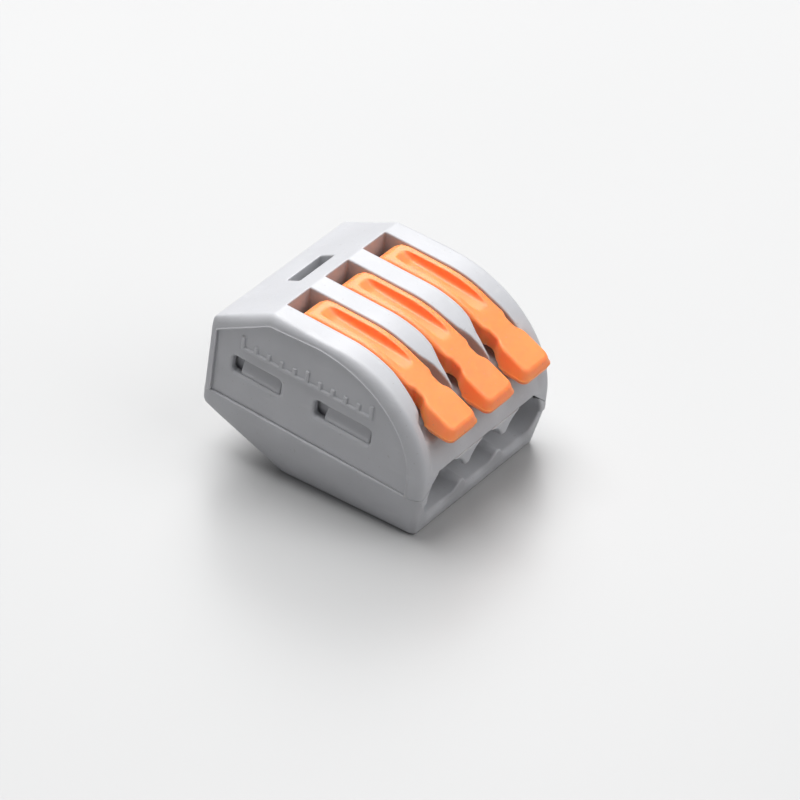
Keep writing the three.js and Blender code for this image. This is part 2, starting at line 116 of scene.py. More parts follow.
ROOM_HALF_W = 1.95
ROOM_Y = (-6.8, -3.2, 8.3)
ROOM_Z = (3.0, 5.7)
SLOT_HALF_W = 1.42
SLOT_Y = (-9.4, 5.0)
SLOT_FLOOR_Z = 5.0
SLOT_FLOOR_Y = (-8.9, -8.3, -7.2, -5.2, -3.7, -3.4)  # the floor follows the lever's underside
SLOT_FLOOR = (4.7, 5.1, 5.4, 5.6, 5.6, SLOT_FLOOR_Z)
RIB_FLARE_Y = (-8.4, -7.4, -6.3, -5.2, -4.2)  # the slot's half width along a rib, and at the wall
RIB_FLARE = (2.34, 2.24, 2.02, 1.55, SLOT_HALF_W)
WALL_FLARE_Y = (-8.4, -7.5, -6.4, -5.0)
WALL_FLARE = (1.95, 1.72, 1.6, SLOT_HALF_W)

WINDOWS = ((3.36, 7.98, 7.2), (-5.05, 0.22, -0.7))  # front, rear, and the tongue's rear
WINDOW_Z = (2.58, 4.07)
WINDOW_CORNER_R = 0.35
POCKET_PLAY = 0.3  # between a window's end and its pocket's
POCKET_HEADROOM = 0.2  # over the tongue
TONGUE_X = (6.78, 7.42)
TONGUE_TOP_Z = 4.6
TONGUE_PLAY = 0.2  # how far a tongue reaches past its window
BARB_X = (7.65, 8.08)

TEST_SLOT_HALF_W, TEST_SLOT_Y = 2.35, (6.65, 8.03)
TEST_SLOT_DEPTH = 4.8
TEST_SLOT_TAPER = (0.3, 0.35)  # at that depth: a share of the width, and mm at each end

GAUGE_Y, GAUGE_Z = (-4.9, 7.1), 5.2
GAUGE_STEPS, LONG_TICK_EVERY = 10, 5
GAUGE_HALF_W, GAUGE_RISE = 0.17, 0.155
SHORT_TICK, LONG_TICK = 0.7, 1.1

PIVOT_Y, PIVOT_Z, PIVOT_R = 1.4, 7.0, 1.05
BEARING_PLAY = 0.1
LEVER_TOP_Z = 9.42
ARM_STRAIGHT_Y = -4.7
TAB_SLOPE = 0.4226
ARM_HALF_W, WAIST_HALF_W = 1.38, 1.12
WAIST_Y = (-6.3, -6.95)
TAB_REAR_Y = -8.2
TAB_TOP_HALF_W, TAB_RIM_HALF_W, TAB_FOOT_HALF_W = 1.5, 1.85, 1.6
TAB_FRONT_Y, TAB_RIM_FRONT_Y, TAB_FOOT_FRONT_Y = -10.87, -11.02, -10.9
TAB_RIM_Z, TAB_FOOT_Z = (5.6, 5.3), (4.95, 4.75)  # at the tab's rear and at its front
TAB_REAR_SLANT = 0.9
TAB_FLASH, TAB_FLASH_HALF_H = 0.04, 0.05
ARM_END_Y = -9.5  # inside the tab
JOURNAL_PLAY = 0.08  # between a journal's end and the room's wall
GROOVE_LINE, GROOVE_HALF_W = ((3.1, 8.95), (-5.35, 8.38)), 0.62
GROOVE_END = 1.6  # how long its floor takes to come down from the top
GROOVE_DRAFT = 0.15
CAM_GAP = 0.12
LEVER_DEG, SPRING_DEG = 90.0, 16.0

BOW_Y, BOW_Z, BOW_INNER, BOW_OUTER = 6.0, 3.2, 1.4, 1.8
SPRING_HALF_W = 1.7
SPRING_SPLIT_Y = 2.0
PLATE_Y = -2.4
CLAMP_HALF_W, CLAMP_Z, PLATE_FOOT_Z = 1.25, (0.52, 4.0), -0.3
LEG_FRONT_Y = -0.9

BUSBAR_Z = (0.65, 1.3)
BUSBAR_Y = (1.0, 4.6)
BUSBAR_HALF_W = 6.35
BUSBAR_TONGUE_HALF_W, BUSBAR_TONGUE_Y = 1.1, -4.2
WIRE_STOP_Y = (3.5, 4.3)
POST_HALF_W = 0.38

# Steps of the distance grids, and how coarse a flat stretch of the mesh may be.
HOUSING_STEP, HOUSING_ADAPTIVITY = 0.055, 0.06
LEVER_STEP, LEVER_ADAPTIVITY = 0.04, 0.03
STRIP_STEP, STRIP_ADAPTIVITY = 0.05, 0.02

# ---------------------------------------------------------------- colours and studio

GREY, WORN_GREY = (0.47, 0.473, 0.492), (0.55, 0.55, 0.56)
ORANGE, WORN_ORANGE = (1.0, 0.29, 0.09), (1.0, 0.36, 0.14)
STEEL, DULL_STEEL = (0.62, 0.61, 0.60), (0.50, 0.49, 0.48)
TIN, DULL_TIN = (0.72, 0.70, 0.66), (0.60, 0.57, 0.52)
DUST = (0.30, 0.28, 0.26)
FLOOR_GREYS = (0.40, 0.42)
FLOOR_HALF_M = 1.5
SKY, SKY_STRENGTH = (0.93, 0.95, 1.0), 0.15

CAMERA_AZIMUTH, CAMERA_ELEVATION, CAMERA_ROLL = -54.44, 35.39, 1.13
CAMERA_TARGET = (0.192, -1.372, 5.0)
CAMERA_DISTANCE = 410.68
SENSOR, LENS = 36.0, 243.6

# Name, azimuth and elevation in degrees, distance and size in metres, and power in watts.
SOFTBOXES = (
    ("top_softbox", 155, 76, 0.6, 0.45, 4.8),
    ("back_softbox", 126, 37, 0.7, 0.42, 2.2),
    ("front_softbox", 14, 47, 0.7, 0.5, 2.2),
    ("side_softbox", -118, 12, 0.7, 0.5, 0.55),
)

# ---------------------------------------------------------------- distance fields


def both(a, b, radius=0.0):
    """What lies in both solids, with a round of that radius on their common edge."""
    corner = np.sqrt(np.maximum(a + radius, 0) ** 2 + np.maximum(b + radius, 0) ** 2)
    return np.minimum(np.maximum(a, b), -radius) + corner


def either(a, b, radius=0.0):
    """Both solids joined, with a fillet of that radius in their common corner."""
    return -both(-a, -b, radius)


def span(v, low, high):
    """Distance along one axis to what lies between low and high."""
    return np.maximum(low - v, v - high)


def smooth(value, start, end):
    """0 before start, 1 after end, and an S-curve between them."""
    t = np.clip((value - start) / (end - start), 0, 1)
    return t * t * (3 - 2 * t)


def polygon(u, v, points):
    """Signed distance to a closed outline of (u, v) points, negative inside."""
    u, v = np.broadcast_arrays(u, v)
    nearest = np.full(u.shape, np.inf, np.float32)
    inside = np.zeros(u.shape, bool)
    for (u0, v0), (u1, v1) in zip(points, [*points[1:], points[0]]):
        du, dv = u1 - u0, v1 - v0
        along = np.clip(((u - u0) * du + (v - v0) * dv) / (du * du + dv * dv), 0, 1)
        gap = (u - u0 - along * du) ** 2 + (v - v0 - along * dv) ** 2
        nearest = np.minimum(nearest, gap)
        if dv != 0:
            crosses = (v0 > v) != (v1 > v)
            inside ^= crosses & (u < u0 + (v - v0) * (du / dv))
    return np.where(inside, -1, 1).astype(np.float32) * np.sqrt(nearest)


def rounded(points, radius, steps=8):
    """The outline with every corner turned into an arc, as far as its sides allow."""
    result = []
    for i, corner in enumerate(points):
        here = Vector(corner)
        before = Vector(points[i - 1]) - here
        after = Vector(points[(i + 1) % len(points)]) - here
        half = before.angle(after) / 2
        reach = min(radius / math.tan(half), 0.45 * before.length, 0.45 * after.length)
        if reach < 0.02:
            result.append(corner)
            continue
        arc_radius = reach * math.tan(half)
        middle = (before.normalized() + after.normalized()).normalized()
        centre = here + middle * (reach / math.cos(half))
        start = here + before.normalized() * reach - centre
        end = here + after.normalized() * reach - centre
        for k in range(steps + 1):
            direction = start.slerp(end, k / steps) if start.angle(end) > 1e-4 else start
            point = centre + direction.normalized() * arc_radius
            result.append((point.x, point.y))
    return result


def ellipse_quarter(ellipse, steps=48):
    """The stretch of an ellipse from its foremost point up to its highest one."""
    y, z, a, b = ellipse
    angles = (math.pi - i / steps * math.pi / 2 for i in range(steps + 1))
    return [(y + a * math.cos(t), z + b * math.sin(t)) for t in angles]


class Block:
    """A solid as signed distances on a grid over x >= 0. Its mesh is mirrored in x = 0."""

    def __init__(self, low, high, step):
        self.step = step
        margin = 3 * step
        starts = (0.0, low[1] - margin, low[2] - margin)
        self.axes = [self.ticks(start, end + margin) for start, end in zip(starts, high)]
        self.values = None

    def ticks(self, start, end):
        count = math.ceil((end - start) / self.step) + 1
        return (start + self.step * np.arange(count)).astype(np.float32)

    def grid(self, part=(slice(None), slice(None), slice(None))):
        x, y, z = (axis[piece] for axis, piece in zip(self.axes, part))
        return x[:, None, None], y[None, :, None], z[None, None, :]

    def change(self, low, high, work):
        """Replaces the values near a box by work(values, x, y, z)."""
        margin = 0.5
        part = tuple(
            slice(*np.searchsorted(axis, (a - margin, b + margin)))
            for axis, a, b in zip(self.axes, low, high)
        )
        if any(piece.start == piece.stop for piece in part):
            return
        self.values[part] = work(self.values[part], *self.grid(part))

    def cut(self, low, high, shape, radius=0.05):
        self.change(low, high, lambda values, x, y, z: both(values, -shape(x, y, z), radius))

    def add(self, low, high, shape, radius=0.05):
        self.change(low, high, lambda values, x, y, z: either(values, shape(x, y, z), radius))

    def mesh(self, name, adaptivity):
        """The zero surface, with normals taken from the field itself."""
        band = 4 * self.step
        field = np.concatenate([self.values[:0:-1], self.values])
        field = np.clip(field, -band, band).astype(np.float32)
        volume = openvdb.FloatGrid(band)
        volume.copyFromArray(field)
        points, triangles, quads = volume.convertToPolygons(0.0, adaptivity)
        points = points.astype(np.float64)
        for _ in range(2):
            slope = gradient(field, points)
            steepness = np.maximum((slope**2).sum(1), 1e-9)
            points -= slope * (sample(field, points) / steepness)[:, None]
        normals = gradient(field, points)
        normals /= np.maximum(np.linalg.norm(normals, axis=1), 1e-9)[:, None]
        origin = np.array([-self.axes[0][-1], self.axes[1][0], self.axes[2][0]])
        mesh = bpy.data.meshes.new(name)
        faces = [*triangles.tolist(), *quads.tolist()]
        mesh.from_pydata((origin + points * self.step).tolist(), [], faces)
        mesh.shade_smooth()
        mesh.normals_split_custom_set_from_vertices(normals.tolist())
        return mesh


def sample(field, points):
    """Trilinear values of the field at points in grid units."""
    top = np.array(field.shape) - 2
    base = np.clip(np.floor(points).astype(int), 0, top)
    share = points - base
    total = np.zeros(len(points))
    for corner in np.ndindex(2, 2, 2):
        weight = np.prod(np.where(corner, share, 1 - share), axis=1)
        total += weight * field[tuple((base + corner).T)]
    return total


def gradient(field, points, step=0.8):
    """Slope of the field at points, in field units per grid cell."""
    offsets = np.eye(3) * step
    rises = [sample(field, points + o) - sample(field, points - o) for o in offsets]
    return np.stack(rises, 1) / (2 * step)


# ---------------------------------------------------------------- housing skin

OUTER = rounded(
    [
        (-HALF_L, -FAR),
        *ellipse_quarter(NOSE),
        RIDGE,
        RAMP_END,
        (HALF_L, -FAR),
    ],
    OUTER_ROUND,
)
PANEL = rounded(
    [
        (PANEL_NOSE[0] - PANEL_NOSE[2], -FAR),
        *ellipse_quarter(PANEL_NOSE),
        PANEL_RIDGE,
        PANEL_RAMP_END,
        (PANEL_REAR_Y, -FAR),
    ],
    PANEL_ROUND,
)


def skin(x, y, z, inset=0.0):
    """The housing's outside: flat sides that roll over a band into the top, nose and rear."""
    outer = polygon(y, z, OUTER) + inset
    panel = polygon(y, z, PANEL)
    width = np.maximum(panel - outer, 0.05)
    radius = np.minimum(BAND_ROUND * width, MAX_ROUND) * (1 - REAR_CRISP * smooth(y, *REAR_CRISP_Y))
    share = np.maximum(panel, 0) / width
    depth = HALF_W - inset - np.maximum(z, 0) * DRAFT - x
    rise = np.maximum(1 - depth / radius, 0)
    reach = np.sqrt(share**2 + rise**2)
    scale = (width * share**2 + radius * rise**2) / np.maximum(reach**2, 1e-6)
    return np.where(reach > 1e-3, (reach - 1) * scale, -radius).astype(np.float32)


def band_skin(x, y):
    """The skin at the parting plane, carried straight up and down."""
    return skin(x, y, np.zeros((1, 1, 1), np.float32), BASE_INSET)


def side_depth(x, z):
    """How far a point lies under the cover's side."""
    return HALF_W - COVER_INSET - z * DRAFT - x


# ---------------------------------------------------------------- cover


def panel_recess(x, y, z):
    """The side panel, sunk into the cover's side."""
    return both(polygon(y, z, PANEL), side_depth(x, z) - PANEL_DEPTH)


def panel_bead(x, y, z):
    """A fine bead along the panel's edge, which catches the light."""
    return np.hypot(polygon(y, z, PANEL), side_depth(x, z)) - PANEL_BEAD_R


ROOM_OUTLINE = [
    (ROOM_Y[0], -FAR),
    (ROOM_Y[2], -FAR),
    (ROOM_Y[2], ROOM_Z[1]),
    (ROOM_Y[1], ROOM_Z[1]),
    (ROOM_Y[1], ROOM_Z[0]),
    (ROOM_Y[0], ROOM_Z[0]),
]


def room(outline, centre, radius):
    """The room of one pole, from its outline (y, z), with that radius on its edges."""
    return lambda x, y, z: both(polygon(y, z, outline), abs(x - centre) - ROOM_HALF_W, radius)


def lever_slot(centre):
    """The slot a lever lies in, wider at the tab for the fingers. A rib thins to a point there."""

    def shape(x, y, z):
        at_rib = np.interp(y, RIB_FLARE_Y, RIB_FLARE).astype(np.float32)
        at_wall = np.interp(y, WALL_FLARE_Y, WALL_FLARE).astype(np.float32)
        half = np.where(x < centre, at_rib, at_wall if centre else at_rib)
        floor = np.interp(y, SLOT_FLOOR_Y, SLOT_FLOOR).astype(np.float32)
        slot = both(abs(x - centre) - half, span(y, *SLOT_Y), 0.12)
        return both(slot, floor - z)

    return shape


def bearing(centre):
    """The half-round seat of a lever's journals, and the way in from below."""

    def shape(x, y, z):
        radius = PIVOT_R + BEARING_PLAY
        round_part = np.sqrt((y - PIVOT_Y) ** 2 + (z - PIVOT_Z) ** 2) - radius
        way_in = both(abs(y - PIVOT_Y) - radius, span(z, ROOM_Z[0], PIVOT_Z))
        return both(either(round_part, way_in), abs(x - centre) - ROOM_HALF_W)

    return shape


CHIN_OUTLINE = [
    (-10.15, LIP_Z),
    (-9.3, 4.35),
    (-8.25, 4.8),
    (-8.1, 6.3),
    (-7.9, FAR),
    (-FAR, FAR),
    (-FAR, LIP_Z),
]


def chin(x, y, z):
    """What the sloping chin leaves free in front of it, between the two cheeks."""
    return both(polygon(y, z, rounded(CHIN_OUTLINE, 0.6)), x - CHIN_HALF_W, 0.3)


def front_profile(points):
    """A front outline for x >= 0, closed through the middle plane."""
    return [(-FAR, points[0][1]), *points, (-FAR, points[-1][1])]


LIP_OUTLINE = front_profile([
    (LIP_FOOT_HALF_W + 0.02, -FAR),
    (LIP_FOOT_HALF_W + 0.02, 0.0),
    (LIP_HALF_W, LIP_Z),
])


def wall_outline(margin, bottom_z):
    """Front outline of the wall behind the lip, grown by a margin."""
    return front_profile([
        (WALL_FOOT_HALF_W + margin, bottom_z),
        (WALL_FOOT_HALF_W + margin, WALL_FOOT_Z + margin),
        (LIP_HALF_W + margin, LIP_Z - WALL_DROP + margin / 2),
    ])


def entry_opening(x, y, z):
    """The opening in the cover for the base's entry wall."""
    lip = both(polygon(x, z, LIP_OUTLINE), y - LIP_BACK_Y)
    behind = both(polygon(x, z, wall_outline(FIT, -FAR)), span(y, LIP_BACK_Y - FIT, ROOM_Y[0]))
    tenon = both(x - TENON_HALF_W - FIT, z - ROOM_Z[0])
    tenon = both(tenon, span(y, TENON_FRONT_Y - FIT, ROOM_Y[0]))
    return either(lip, either(behind, tenon))


def latch_pocket(window):
    """The pocket behind a window, in which the base's tongue stands."""

    def shape(x, y, z):
        across = span(x, ROOM_HALF_W + PITCH - 0.1, TONGUE_X[1] + FIT)
        along = span(y, window[0] - POCKET_PLAY, window[1] + POCKET_PLAY)
        return both(across, both(along, z - TONGUE_TOP_Z - POCKET_HEADROOM))

    return shape


def window_hole(window):
    """A window through the cover's side, into its pocket."""

    def shape(x, y, z):
        face = both(span(y, window[0], window[1]), span(z, *WINDOW_Z), WINDOW_CORNER_R)
        return both(face, TONGUE_X[1] - x)

    return shape


def test_slot(x, y, z):
    """The slot in the rear ramp for a test probe, which narrows as it goes down."""
    sink = np.clip((RIDGE[1] - z) / TEST_SLOT_DEPTH, 0, 1)
    across = x - TEST_SLOT_HALF_W * (1 - TEST_SLOT_TAPER[0] * sink)
    end = TEST_SLOT_TAPER[1] * sink
    return both(across, span(y, TEST_SLOT_Y[0] + end, TEST_SLOT_Y[1] - end), FIT)


def busbar_notch(x, y, z):
    """The notch through the cover's walls that the busbar lies in."""
    along = span(y, BUSBAR_Y[0] - 0.15, BUSBAR_Y[1] + 0.15)
    return both(x - ROOM_HALF_W - PITCH, both(along, z - BUSBAR_Z[1] - FIT))


def strip_gauge(x, y, z):
    """A raised scale for the strip length: a bar with ticks along the panel."""
    start, end = GAUGE_Y
    step = (end - start) / GAUGE_STEPS
    bar = both(span(y, start - GAUGE_HALF_W, end + GAUGE_HALF_W), abs(z - GAUGE_Z) - GAUGE_HALF_W)
    nearest = np.clip(np.round((y - start) / step), 0, GAUGE_STEPS)
    length = np.where(nearest % LONG_TICK_EVERY == 0, LONG_TICK, SHORT_TICK)
    tick = both(abs(y - start - nearest * step) - GAUGE_HALF_W, span(z, GAUGE_Z, GAUGE_Z + length))
    raised = span(side_depth(x, z), PANEL_DEPTH - GAUGE_RISE, PANEL_DEPTH + 0.2)
    return both(either(bar, tick), raised, 0.09)


def make_cover():
    """The cover. Each box only bounds where a shape has any effect."""
    block = Block((0, -HALF_L, 0), (HALF_W, HALF_L, TOP_Z), HOUSING_STEP)
    x, y, z = block.grid()
    block.values = both(skin(x, y, z, COVER_INSET), SEAM - z, 0.0)
    top = (HALF_W, HALF_L, TOP_Z)
    block.cut((7, -HALF_L, 0), top, panel_recess, 0.04)
    block.add((8, -HALF_L, 0), top, panel_bead, 0.03)
    block.cut((8, -HALF_L, 0), (HALF_W, HALF_L, 0.1), lambda x, y, z: z - SEAM, 0.0)
    for centre in (0, PITCH):
        low, high = centre - ROOM_HALF_W, centre + ROOM_HALF_W
        slot_low = (low - 0.3, SLOT_Y[0], SLOT_FLOOR_Z)
        slot_high = (high + 0.3, SLOT_Y[1], TOP_Z)
        cover_room = room(ROOM_OUTLINE, centre, 0.1)
        block.cut((low, ROOM_Y[0], 0), (high, ROOM_Y[2], ROOM_Z[1]), cover_room, 0.06)
        block.cut(slot_low, slot_high, lever_slot(centre), 0.13)
        block.cut((low, PIVOT_Y - 1.2, 0), (high, PIVOT_Y + 1.2, PIVOT_Z + 1.2), bearing(centre))
    block.cut((0, -HALF_L, LIP_Z), (HALF_W, -7.5, TOP_Z), chin, 0.3)
    block.cut((0, -HALF_L, 0), (HALF_W, ROOM_Y[0], ROOM_Z[0]), entry_opening, 0.02)
    for window in WINDOWS:
        low = (6.5, window[0] - POCKET_PLAY, 0)
        high = (HALF_W, window[1] + POCKET_PLAY, TONGUE_TOP_Z)
        block.cut(low, high, latch_pocket(window))
        block.cut(low, high, window_hole(window), 0.22)
    block.cut((0, 6.5, 4.6), (2.5, 8.1, TOP_Z), test_slot, 0.1)
    block.cut((0, BUSBAR_Y[0], 0), (ROOM_HALF_W + PITCH, BUSBAR_Y[1], 1.4), busbar_notch)
    block.add((7.8, -5.2, 5.0), (HALF_W, 7.3, 6.4), strip_gauge, 0.04)
    return block


# ---------------------------------------------------------------- base


def underside_z(y):
    """Height of the surface that the connector stands on, in the tilted frame."""
    return -(UNDERSIDE_DROP + y * math.sin(TILT)) / math.cos(TILT)


def plane(points, x, y, z):
    """Signed distance to the plane through three points, positive away from the origin."""
    a, b, c = (np.array(p, float) for p in points)
    normal = np.cross(b - a, c - a)
    normal /= np.linalg.norm(normal)
    if normal @ a < 0:
        normal = -normal
    return normal[0] * x + normal[1] * y + normal[2] * z - normal @ a


def base_skin(x, y, z):
    """The band under the parting plane, and the keel that tapers to the flat underside."""
    front_y, rear_y = BOTTOM_Y
    corner_y = front_y + BOTTOM_CORNER
    edge_x = HALF_W - KEEL_INSET
    crease_front = (edge_x, CREASE_FRONT_Y, CREASE_Z)
    crease_rear = (edge_x, HALF_L, CREASE_Z)
    bottom_front = (BOTTOM_HALF_W[0], corner_y, underside_z(corner_y))
    bottom_rear = (BOTTOM_HALF_W[1], rear_y, underside_z(rear_y))
    rim_front = (HALF_W, RIM_FRONT_Y, 0)

    def across(y0, z0, y1, z1):
        return plane([(0, y0, z0), (5, y0, z0), (0, y1, z1)], x, y, z)

    rest = across(0, underside_z(0), 3, underside_z(3))
    rear = across(rear_y, underside_z(rear_y), HALF_L - KEEL_INSET, CREASE_Z)
    front = across(-HALF_L, 0, front_y, underside_z(front_y))
    keel = plane([crease_front, crease_rear, bottom_rear], x, y, z)
    bow = plane([crease_front, rim_front, bottom_front], x, y, z)
    flash = (BASE_INSET - 0.005) * np.exp(-((z / FLASH_HALF_H) ** 2))
    front_round = 0.4 + 0.4 * smooth(z, -0.3, -3.0)
    corner = both(both(band_skin(x, y) - flash, bow, 0.5), front, front_round)
    sides = both(corner, keel, 0.3)
    return both(both(sides, rear, 0.6), rest, 0.25)


def funnel(x, y, z):
    """The wire entries. The webs between them are cut away between a tooth and a saddle."""
    inward = np.clip((y - MOUTH_Y) / (THROAT_Y - MOUTH_Y), -0.1, 1)
    mouth = INNER_R + (MOUTH_R - INNER_R) * smooth(x, PITCH, PITCH + 1.5)
    radius = mouth + (THROAT_R - mouth) * np.maximum(inward, 0) ** FUNNEL_CURVE
    axis_z = ENTRY_Z[0] + (ENTRY_Z[1] - ENTRY_Z[0]) * inward
    middle, outer = (np.sqrt((x - c) ** 2 + (z - axis_z) ** 2) - radius for c in (0, PITCH))
    gap = both(abs(x - PITCH / 2) - GAP_HALF_W, span(z, SADDLE_Z, TOOTH_Z), 0.1)
    gap = both(gap, y - GAP_BACK_Y, 0.5)
    bores = both(either(middle, outer, 0.05), y - ENTRY_END_Y)
    saddle_round = 0.08 + 0.2 * smooth(z, -0.4, -1.2)
    return either(bores, gap, saddle_round)


def cut_funnel(values, x, y, z):
    """Cuts the entries out. The round on their mouths grows towards the lowest edge."""
    mouth_round = 0.2 + 0.5 * smooth(z, -2.0, -3.0)
    return both(values, -funnel(x, y, z), mouth_round)


def entry_wall(x, y, z):
    """The base's front wall: the lip round the entries, what backs it, and a tenon on top."""
    lip = front_profile([
        (LIP_FOOT_HALF_W, WALL_ROOT_Z),
        (LIP_FOOT_HALF_W, -SEAM),
        (LIP_HALF_W, LIP_Z - 0.01),
    ])
    behind = wall_outline(0, WALL_ROOT_Z)
    front = both(polygon(x, z, lip), span(y, -HALF_L - 1, LIP_BACK_Y))
    back = both(polygon(x, z, behind), span(y, LIP_BACK_Y - WALL_LAP, WALL_BACK_Y))
    tenon = both(x - TENON_HALF_W, span(z, WALL_ROOT_Z, TENON_TOP_Z))
    tenon = both(tenon, span(y, TENON_FRONT_Y, WALL_BACK_Y))
    wall = either(front, either(back, tenon), 0.03)
    return both(wall, band_skin(x, y), 0.03)


BASE_ROOM_OUTLINE = [
    (ROOM_Y[0], FLOOR_Z),
    (BOTTOM_Y[1], FLOOR_Z),
    (ROOM_Y[2], -0.9),
    (ROOM_Y[2], FAR),
    (ROOM_Y[0], FAR),
]


def latch_tongue(window):
    """A snap tongue: a stem, and a barb that shows in the cover's window."""
    low_z, high_z = WINDOW_Z[0] - 0.1, WINDOW_Z[1] - 0.12
    barb_outline = [
        (TONGUE_X[0], low_z),
        (BARB_X[1], low_z),
        (BARB_X[1], low_z + 0.4),
        (BARB_X[0], high_z),
        (TONGUE_X[0], high_z),
    ]

    def shape(x, y, z):
        stem = both(span(x, *TONGUE_X), span(z, -1.5, TONGUE_TOP_Z), 0.08)
        stem = both(stem, span(y, window[0] - TONGUE_PLAY, window[1] + TONGUE_PLAY))
        barb = polygon(x, z, rounded(barb_outline, 0.12))
        barb = both(barb, span(y, window[0] + FIT, window[2]), 0.15)
        return either(stem, barb, 0.05)

    return shape


def wire_stop(centre):
    """The wall across a room that a wire's end meets."""

    def shape(x, y, z):
        wall = both(span(y, *WIRE_STOP_Y), span(z, FLOOR_Z - 0.2, BUSBAR_Z[0] - 0.06))
        return both(wall, abs(x - centre) - ROOM_HALF_W - 0.1)

    return shape


def divider_post(x, y, z):
    """A post between two poles that holds the busbar up."""
    along = span(y, BUSBAR_Y[0] + 0.1, BUSBAR_Y[1] - 0.1)
    post = both(abs(x - PITCH / 2) - POST_HALF_W, along)
    return both(post, span(z, -1, BUSBAR_Z[0] - 0.06))


def make_base():
    """The base: skin, entry wall, rooms, wire entries and snap tongues."""
    block = Block((0, -HALF_L, BOTTOM_Z), (HALF_W, HALF_L, TONGUE_TOP_Z), HOUSING_STEP)
    x, y, z = block.grid()
    block.values = both(base_skin(x, y, z), z + SEAM, 0.05)
    wall_low, wall_high = (0, -HALF_L, WALL_ROOT_Z), (HALF_W, WALL_BACK_Y, TENON_TOP_Z)
    block.add(wall_low, wall_high, entry_wall, 0.0)
    for centre in (0, PITCH):
        low, high = centre - ROOM_HALF_W, centre + ROOM_HALF_W
        stop_low = (low, WIRE_STOP_Y[0], FLOOR_Z)
        stop_high = (high, WIRE_STOP_Y[1], BUSBAR_Z[0])
        base_room = room(BASE_ROOM_OUTLINE, centre, 0.15)
        block.cut((low, ROOM_Y[0], FLOOR_Z), (high, ROOM_Y[2], TONGUE_TOP_Z), base_room, 0.08)
        block.add(stop_low, stop_high, wire_stop(centre), 0.08)
    block.change((0, -HALF_L, -3.3), (7.4, ENTRY_END_Y, 2.1), cut_funnel)
    block.add((1.9, BUSBAR_Y[0], -1), (2.8, BUSBAR_Y[1], BUSBAR_Z[0]), divider_post)
    for window in WINDOWS:
        low = (TONGUE_X[0], window[0] - TONGUE_PLAY, -1.5)
        high = (BARB_X[1], window[1] + TONGUE_PLAY, TONGUE_TOP_Z)
        block.add(low, high, latch_tongue(window), 0.1)
    return block


# ---------------------------------------------------------------- lever


def pivot_to_arm(phi):
    """Distance from the lever's pivot to the spring arm's top face, at an arm angle."""
    dy, dz = PIVOT_Y - BOW_Y, PIVOT_Z - BOW_Z
    return dz * math.cos(phi) - dy * math.sin(phi) - BOW_OUTER


def cam_points(steps=24):
    """The cam: the envelope of that face as the lever turns, less a small gap."""
    ratio = SPRING_DEG / LEVER_DEG
    points = []
    for i in range(steps + 1):
        theta = math.radians(LEVER_DEG) * i / steps
        phi = theta * ratio
        psi = theta + phi
        reach = pivot_to_arm(phi) - CAM_GAP
        slope = (pivot_to_arm(phi + 1e-4) - pivot_to_arm(phi)) / 1e-4 * ratio / (1 + ratio)
        points.append((
            PIVOT_Y + reach * math.sin(psi) + slope * math.cos(psi),
            PIVOT_Z - reach * math.cos(psi) + slope * math.sin(psi),
        ))
    return points


def lever_top_z(y):
    """Top line of the lever: level, round with the cover, then straight down the tab."""
    bend = np.clip((NOSE[0] - np.maximum(y, ARM_STRAIGHT_Y)) / NOSE[2], 0, 1)
    drop = NOSE[3] * (1 - np.sqrt(1 - bend**2))
    return LEVER_TOP_Z - drop - np.maximum(ARM_STRAIGHT_Y - y, 0) * TAB_SLOPE


def lever_profile():
    """Side outline (y, z) of the lever: its underside, the cam, the head and the top line."""
    head = [(3.75, 8.85), (3.2, 9.28), (2.45, LEVER_TOP_Z)]
    top = [(y, float(lever_top_z(y))) for y in np.linspace(1.6, -12.0, 60)]
    under = [
        (-12.0, 4.7),
        (-8.9, TAB_FOOT_Z[0]),
        (-8.3, 5.75),
        (-7.2, 6.15),
        (-5.2, 6.5),
        (-3.2, 6.55),
        (-1.6, 6.1),
        (-0.2, 5.35),
        (0.9, 5.12),
    ]
    return rounded([*under, *cam_points(), *head, *top], 0.5, 5)


def arm_side(x, y):
    """Distance outside the arm's side, which draws in at the waist."""
    waist = smooth(y, *WAIST_Y)
    return x - ARM_HALF_W + (ARM_HALF_W - WAIST_HALF_W) * waist


def level(y, rear_z, front_z):
    """Height of a level of the tab that slopes from its rear to its front."""
    share = (TAB_REAR_Y - y) / (TAB_REAR_Y - TAB_RIM_FRONT_Y)
    return rear_z + (front_z - rear_z) * np.clip(share, -0.5, 1)


def tab_plan(x, y, z):
    """The tab's drafted outline: it widens down to the rim, and narrows again under it."""
    top, rim, foot = lever_top_z(y), level(y, *TAB_RIM_Z), level(y, *TAB_FOOT_Z)
    above = np.clip((z - rim) / np.maximum(top - rim, 0.3), 0, 1.2)
    below = np.clip((rim - z) / (rim - foot), 0, 1.2)
    flash = TAB_FLASH * np.exp(-(((z - rim) / TAB_FLASH_HALF_H) ** 2))

    def drafted(at_top, at_rim, at_foot):
        return at_rim + (at_top - at_rim) * above + (at_foot - at_rim) * below

    half = drafted(TAB_TOP_HALF_W, TAB_RIM_HALF_W, TAB_FOOT_HALF_W) + flash
    front = drafted(TAB_FRONT_Y, TAB_RIM_FRONT_Y, TAB_FOOT_FRONT_Y) - flash
    rear_corner = x - half + TAB_REAR_SLANT * (y - TAB_REAR_Y)
    rear_corner = rear_corner / math.hypot(1, TAB_REAR_SLANT)
    return both(both(x - half, front - y, 0.6), rear_corner, 0.3)


def lever_body(x, y, z):
    """Lever without its groove and journals, with rounder edges on the arm than on the tab."""
    plan = either(both(arm_side(x, y), ARM_END_Y - y), tab_plan(x, y, z), 0.12)
    edge_round = 0.22 + 0.16 * smooth(y, -7.0, -5.0)
    return both(polygon(y, z, lever_profile()), plan, edge_round)


